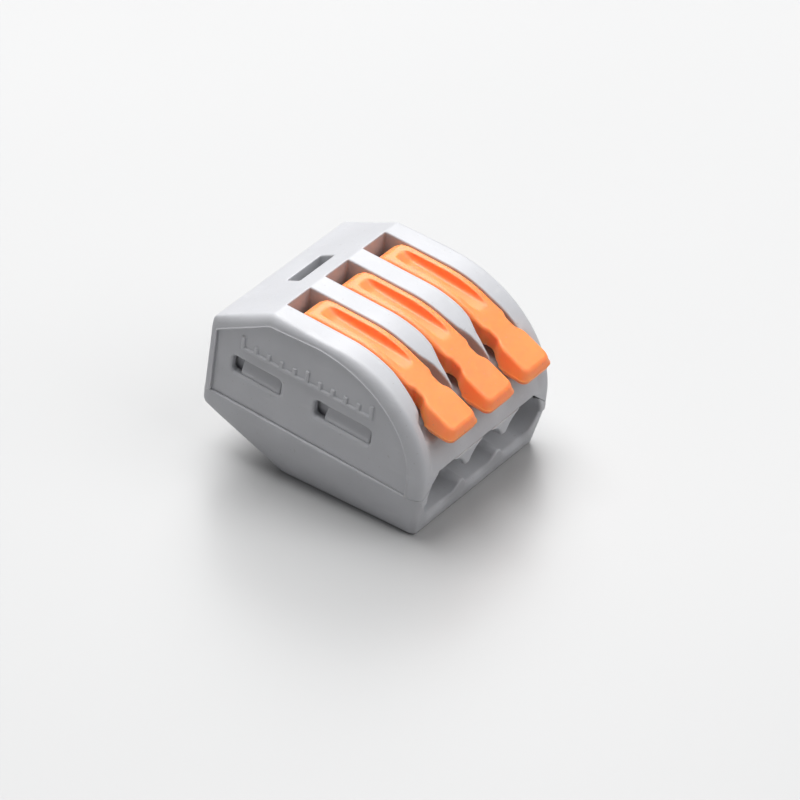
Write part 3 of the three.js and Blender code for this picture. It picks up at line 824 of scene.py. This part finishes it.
def lever_groove(x, y, z):
    """The thumb groove: steep sides, and a floor that rises to the top at both ends."""
    open_z = lever_top_z(y) + 0.1
    (y0, z0), (y1, z1) = GROOVE_LINE
    line = z1 + (z0 - z1) / (y0 - y1) * (y - y1)
    floor = open_z - (open_z - line) * smooth(y, y0, y0 - GROOVE_END)
    sides = x - GROOVE_HALF_W - GROOVE_DRAFT * (z - floor)
    # 0.95 turns the height over the sloping floor into a distance.
    return both(sides, (floor - z) * 0.95, 0.3)


def journal(x, y, z):
    """The two journals, as one shaft through the lever."""
    disc = np.sqrt((y - PIVOT_Y) ** 2 + (z - PIVOT_Z) ** 2) - PIVOT_R
    return both(disc, x - ROOM_HALF_W + JOURNAL_PLAY, 0.1)


def make_lever():
    """A lever, lying shut in its slot on the middle pole."""
    block = Block((0, -11.1, 4.6), (2.0, 4.4, 9.45), LEVER_STEP)
    x, y, z = block.grid()
    block.values = lever_body(x, y, z).astype(np.float32)
    block.cut((0, -6.2, 7.9), (1, 3.4, TOP_Z), lever_groove, 0.09)
    low = (0, PIVOT_Y - PIVOT_R, PIVOT_Z - PIVOT_R)
    high = (1.9, PIVOT_Y + PIVOT_R, PIVOT_Z + PIVOT_R)
    block.add(low, high, journal, 0.1)
    return block


# ---------------------------------------------------------------- springs and busbar


def arc(radius, from_deg, to_deg, steps=24):
    """Points (y, z) on a circle about the bow's centre."""
    angles = (math.radians(from_deg + (to_deg - from_deg) * i / steps) for i in range(steps + 1))
    return [(BOW_Y + radius * math.cos(t), BOW_Z + radius * math.sin(t)) for t in angles]


def make_spring_bow():
    """The fixed leg, the bow and the first stretch of the arm, as one strip."""
    outline = [
        (LEG_FRONT_Y, BOW_Z - BOW_OUTER),
        *arc(BOW_OUTER, -90, 90),
        (SPRING_SPLIT_Y, BOW_Z + BOW_OUTER),
        (SPRING_SPLIT_Y, BOW_Z + BOW_INNER),
        *arc(BOW_INNER, 90, -90),
        (LEG_FRONT_Y, BOW_Z - BOW_INNER),
    ]
    block = Block((0, LEG_FRONT_Y, 1.2), (SPRING_HALF_W, 8.0, 5.2), STRIP_STEP)
    x, y, z = block.grid()
    block.values = both(polygon(y, z, outline), x - SPRING_HALF_W, 0.06)
    return block


def clamping_window(x, y, z):
    """The window in the plate that pulls a wire up against the busbar."""
    return both(both(x - CLAMP_HALF_W, span(z, *CLAMP_Z), 0.2), y - PLATE_Y - 1)


def make_spring_arm():
    """The arm's front stretch, bent down into the plate with the clamping window."""
    top, under = BOW_Z + BOW_OUTER, BOW_Z + BOW_INNER
    strip = BOW_OUTER - BOW_INNER
    outline = [
        (SPRING_SPLIT_Y, top),
        (PLATE_Y + 0.5, top),
        (PLATE_Y + 0.15, top - 0.15),
        (PLATE_Y, top - 0.5),
        (PLATE_Y, PLATE_FOOT_Z),
        (PLATE_Y + strip, PLATE_FOOT_Z),
        (PLATE_Y + strip, under - 0.15),
        (PLATE_Y + strip + 0.15, under),
        (SPRING_SPLIT_Y, under),
    ]
    block = Block((0, PLATE_Y, PLATE_FOOT_Z), (SPRING_HALF_W, SPRING_SPLIT_Y, top), STRIP_STEP)
    x, y, z = block.grid()
    block.values = both(polygon(y, z, outline), x - SPRING_HALF_W, 0.06)
    low, high = (0, PLATE_Y, CLAMP_Z[0]), (CLAMP_HALF_W, PLATE_Y + 0.6, CLAMP_Z[1])
    block.cut(low, high, clamping_window, 0.05)
    return block


def make_busbar():
    """A stamped strip across the poles, with one tongue for each pole."""
    low = (0, BUSBAR_TONGUE_Y, BUSBAR_Z[0])
    high = (BUSBAR_HALF_W, BUSBAR_Y[1], BUSBAR_Z[1])
    block = Block(low, high, STRIP_STEP)
    x, y, z = block.grid()
    plan = both(x - BUSBAR_HALF_W, span(y, *BUSBAR_Y), 0.3)
    for centre in (0, PITCH):
        along = span(y, BUSBAR_TONGUE_Y, BUSBAR_Y[1])
        tongue = both(abs(x - centre) - BUSBAR_TONGUE_HALF_W, along, 0.3)
        plan = either(plan, tongue, 0.2)
    block.values = both(plan, span(z, *BUSBAR_Z), 0.08)
    return block


# ---------------------------------------------------------------- materials


def add_node(material, kind, **values):
    """A new node, with each value on the input or the property of that name."""
    node = material.node_tree.nodes.new(kind)
    for name, value in values.items():
        if name in node.inputs:
            node.inputs[name].default_value = value
        else:
            setattr(node, name, value)
    return node


def new_material(name, **sockets):
    """A material with its Principled shader, and the object's coordinates in millimetres."""
    material = bpy.data.materials.new(name)
    material.use_nodes = True
    shader = material.node_tree.nodes["Principled BSDF"]
    for socket, value in sockets.items():
        shader.inputs[socket.replace("_", " ")].default_value = value
    place = add_node(material, "ShaderNodeTexCoord")
    scale = add_node(material, "ShaderNodeVectorMath", operation="SCALE", Scale=1 / MM)
    material.node_tree.links.new(place.outputs["Object"], scale.inputs[0])
    return material, shader, scale.outputs[0]


def noise(material, place, scale, detail=3.0, stretch=None):
    """Noise with that many waves per millimetre, stretched if a stretch is given."""
    links = material.node_tree.links
    if stretch:
        mapping = add_node(material, "ShaderNodeMapping", Scale=stretch)
        links.new(place, mapping.inputs["Vector"])
        place = mapping.outputs["Vector"]
    node = add_node(material, "ShaderNodeTexNoise", Scale=scale, Detail=detail)
    links.new(place, node.inputs["Vector"])
    return node.outputs["Fac"]


def ramp(material, source, stops):
    """A colour ramp; each stop is a place from 0 to 1 and a grey or a colour."""
    node = add_node(material, "ShaderNodeValToRGB")
    material.node_tree.links.new(source, node.inputs["Fac"])
    elements = node.color_ramp.elements
    while len(elements) < len(stops):
        elements.new(0.5)
    for element, (place, value) in zip(elements, stops):
        element.position = place
        element.color = (*value, 1) if isinstance(value, tuple) else (value, value, value, 1)
    return node.outputs["Color"]


def feed(material, socket, value):
    """Links a socket to another node's output, or gives it a constant."""
    if isinstance(value, bpy.types.NodeSocket):
        material.node_tree.links.new(value, socket)
    else:
        socket.default_value = value


def mix(material, factor, a, b):
    """A blend of two colours, whose sockets on the node are 6 and 7."""
    node = add_node(material, "ShaderNodeMix", data_type="RGBA")
    for socket, value in ((0, factor), (6, a), (7, b)):
        feed(material, node.inputs[socket], value)
    return node.outputs[2]


def maths(material, operation, a, b):
    node = add_node(material, "ShaderNodeMath", operation=operation)
    feed(material, node.inputs[0], a)
    feed(material, node.inputs[1], b)
    return node.outputs[0]


def bump(material, shader, height, distance_mm):
    node = add_node(material, "ShaderNodeBump", Strength=1.0, Distance=distance_mm * MM)
    links = material.node_tree.links
    links.new(height, node.inputs["Height"])
    links.new(node.outputs["Normal"], shader.inputs["Normal"])


def moulded_plastic(name, colour, worn, scatter, scatter_weight, scatter_mm, rough):
    """Polyamide: cloudy colour, spark-eroded skin, dust specks and fine handling scuffs."""
    material, shader, place = new_material(
        name,
        Subsurface_Weight=scatter_weight,
        Subsurface_Radius=scatter,
        Subsurface_Scale=scatter_mm * MM,
        IOR=1.53,
    )
    links = material.node_tree.links
    clouds = noise(material, place, 0.22, 4.0)
    grain = noise(material, place, 9.0, 2.0)
    scuffs = noise(material, place, 1.6, 5.0, (1.0, 0.25, 1.0))
    specks = noise(material, place, 5.0, 0.0)
    ripple = noise(material, place, 2.2, 2.0)
    darker = tuple(c * 0.93 for c in colour)
    cloudy = ramp(material, clouds, [(0.35, 0.0), (0.65, 1.0)])
    scuffed = ramp(material, scuffs, [(0.6, 0.0), (0.78, 0.35)])
    dusty = ramp(material, specks, [(0.79, 0.0), (0.84, 0.35)])
    skin_colour = mix(material, cloudy, (*darker, 1), (*colour, 1))
    skin_colour = mix(material, scuffed, skin_colour, (*worn, 1))
    skin_colour = mix(material, dusty, skin_colour, (*DUST, 1))
    links.new(skin_colour, shader.inputs["Base Color"])
    matt = ramp(material, grain, [(0.3, rough - 0.05), (0.7, rough + 0.07)])
    matt = maths(material, "ADD", matt, maths(material, "MULTIPLY", scuffs, 0.08))
    links.new(matt, shader.inputs["Roughness"])
    height = maths(material, "ADD", grain, maths(material, "MULTIPLY", ripple, 1.4))
    bump(material, shader, height, 0.006)
    return material


def stamped_metal(name, colour, dull, rough):
    """Rolled strip: fine lines along Y, mottled brightness and a soft bump."""
    material, shader, place = new_material(name, Metallic=1.0)
    links = material.node_tree.links
    lines = noise(material, place, 6.0, 4.0, (3.0, 0.12, 3.0))
    mottle = ramp(material, noise(material, place, 0.8, 4.0), [(0.3, 0.0), (0.7, 1.0)])
    links.new(mix(material, mottle, (*dull, 1), (*colour, 1)), shader.inputs["Base Color"])
    brushed = ramp(material, lines, [(0.25, rough - 0.08), (0.75, rough + 0.14)])
    links.new(brushed, shader.inputs["Roughness"])
    bump(material, shader, lines, 0.004)
    return material


def floor_material():
    """A plain pale floor with a very slow change of tone."""
    material, shader, place = new_material("studio_floor")
    dark, light = FLOOR_GREYS
    tone = ramp(material, noise(material, place, 0.01, 2.0), [(0.3, dark), (0.7, light)])
    material.node_tree.links.new(tone, shader.inputs["Base Color"])
    shader.inputs["Roughness"].default_value = 0.32
    shader.inputs["Specular IOR Level"].default_value = 0.4
    return material


# ---------------------------------------------------------------- placing the pieces


def housing_to_world():
    """Millimetres in the housing's frame to metres in the shared frame."""
    middle_lever = next(j for j in frame["joints"] if j["name"] == "lever_2_tilt")
    turn = Matrix.Rotation(TILT, 4, "X") @ Matrix.Scale(MM, 4)
    pivot = turn @ Vector((0, PIVOT_Y, PIVOT_Z))
    return Matrix.Translation(Vector(middle_lever["pos_m"]) - pivot) @ turn


TO_WORLD = housing_to_world()


def piece(name, mesh, material, slot, x=0.0):
    """A copy of the mesh as a piece of its own, moved across the poles to x."""
    own = mesh.copy()
    own.name = name
    own.transform(TO_WORLD @ Matrix.Translation((x, 0, 0)))
    own.materials.append(material)
    obj = bpy.data.objects.new(name, own)
    bpy.context.scene.collection.objects.link(obj)
    return obj


def build_housing():
    grey = moulded_plastic(
        "grey_polyamide",
        GREY,
        WORN_GREY,
        scatter=(1.0, 0.9, 0.8),
        scatter_weight=0.15,
        scatter_mm=0.4,
        rough=0.42,
    )
    for node, block in (("top_housing", make_cover()), ("base_housing", make_base())):
        mesh = block.mesh(node, HOUSING_ADAPTIVITY)
        shell = piece(f"{node}_shell", mesh, grey, "housing_grey")
        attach(shell, "root")
        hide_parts(node)


def build_levers():
    orange = moulded_plastic(
        "orange_polyamide",
        ORANGE,
        WORN_ORANGE,
        scatter=(1.0, 0.18, 0.05),
        scatter_weight=0.8,
        scatter_mm=1.2,
        rough=0.38,
    )
    mesh = make_lever().mesh("lever", LEVER_ADAPTIVITY)
    for pole in POLES:
        number = pole + 2
        lever = piece(f"lever_{number}_moulding", mesh, orange, "lever_orange", pole * PITCH)
        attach(lever, f"lever_{number}")
        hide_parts(f"lever_{number}")


def build_springs():
    steel = stamped_metal("spring_steel", STEEL, DULL_STEEL, 0.32)
    bow_mesh = make_spring_bow().mesh("spring_bow", STRIP_ADAPTIVITY)
    arm_mesh = make_spring_arm().mesh("spring_arm", STRIP_ADAPTIVITY)
    for pole in POLES:
        number, x = pole + 2, pole * PITCH
        bow = piece(f"spring_{number}_bow", bow_mesh, steel, "spring_steel", x)
        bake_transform(bow)
        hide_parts(f"cage_spring_bow_{number}")
        arm = piece(f"spring_{number}_arm", arm_mesh, steel, "spring_steel", x)
        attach(arm, f"spring_arm_{number}")
        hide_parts(f"cage_spring_arm_{number}")


def build_busbar():
    tin = stamped_metal("tinned_copper", TIN, DULL_TIN, 0.28)
    mesh = make_busbar().mesh("busbar", STRIP_ADAPTIVITY)
    bar = piece("busbar_strip", mesh, tin, "tinned_copper")
    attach(bar, "root")
    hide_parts("busbar")


# ---------------------------------------------------------------- studio


def direction(azimuth, elevation):
    """From the part towards a place round it, by its angles in degrees."""
    turn, lift = math.radians(azimuth), math.radians(elevation)
    flat = math.cos(lift)
    return Vector((math.sin(turn) * flat, -math.cos(turn) * flat, math.sin(lift)))


def add_camera():
    """The camera at the photo's angle. Target and distance are millimetres."""
    back = direction(CAMERA_AZIMUTH, CAMERA_ELEVATION)
    roll = math.radians(CAMERA_ROLL)
    across = Vector((0, 0, 1)).cross(back).normalized()
    upright = back.cross(across)
    right = across * math.cos(roll) + upright * math.sin(roll)
    up = upright * math.cos(roll) - across * math.sin(roll)
    data = bpy.data.cameras.new("camera")
    data.sensor_width = SENSOR
    data.lens = LENS
    data.clip_start = 0.01
    camera = bpy.data.objects.new("camera", data)
    camera.matrix_world = Matrix((right, up, back)).transposed().to_4x4()
    camera.matrix_world.translation = (Vector(CAMERA_TARGET) + back * CAMERA_DISTANCE) * MM
    bpy.context.scene.collection.objects.link(camera)
    bpy.context.scene.camera = camera


def add_softbox(name, azimuth, elevation, distance, size, power):
    """An area light on a sphere round the part, facing it."""
    back = direction(azimuth, elevation)
    data = bpy.data.lights.new(name, "AREA")
    data.shape = "SQUARE"
    data.size = size
    data.energy = power
    light = bpy.data.objects.new(name, data)
    light.location = back * distance
    light.rotation_euler = back.to_track_quat("Z", "Y").to_euler()
    bpy.context.scene.collection.objects.link(light)


def add_floor():
    half = FLOOR_HALF_M
    corners = [(-half, -half, 0), (half, -half, 0), (half, half, 0), (-half, half, 0)]
    mesh = bpy.data.meshes.new("floor")
    mesh.from_pydata(corners, [], [(0, 1, 2, 3)])
    floor = bpy.data.objects.new("floor", mesh)
    floor.data.materials.append(floor_material())
    bpy.context.scene.collection.objects.link(floor)


def build_studio():
    add_floor()
    world = bpy.data.worlds.new("studio")
    world.use_nodes = True
    background = world.node_tree.nodes["Background"]
    background.inputs["Color"].default_value = (*SKY, 1)
    background.inputs["Strength"].default_value = SKY_STRENGTH
    bpy.context.scene.world = world
    bpy.context.scene.view_settings.view_transform = "Standard"
    for softbox in SOFTBOXES:
        add_softbox(*softbox)


add_camera()
build_studio()
build_housing()
build_levers()
build_springs()
build_busbar()
